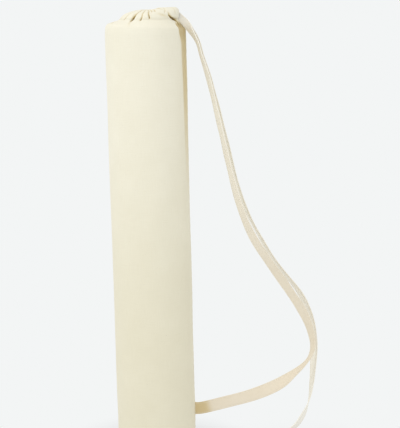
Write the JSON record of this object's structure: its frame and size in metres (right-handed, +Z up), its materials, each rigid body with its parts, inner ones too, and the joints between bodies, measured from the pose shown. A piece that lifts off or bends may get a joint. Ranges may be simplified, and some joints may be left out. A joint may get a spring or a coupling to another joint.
{
  "type": "yoga mat bag",
  "caption": "Upright drawstring bag of natural cotton canvas for a rolled mat, gathered at the top, with one flat tape as drawstring and shoulder strap.",
  "frame": {"origin": "centre of the round base panel's underside, on the surface that the bag stands on", "axes": "+Z up along the bag, +X out through the side seam towards the strap, -Y towards the front of the picture"},
  "size_m": [0.327, 0.125, 0.6993],
  "materials": {
    "canvas": "plain woven natural cotton canvas, matt",
    "tape": "flat tape sewn of the same cotton canvas, matt"
  },
  "bodies": {
    "root": {"body_tube": "canvas", "gathered_top": "canvas", "casing": "canvas", "base_panel": "canvas", "strap": "tape"}
  },
  "joints": []
}
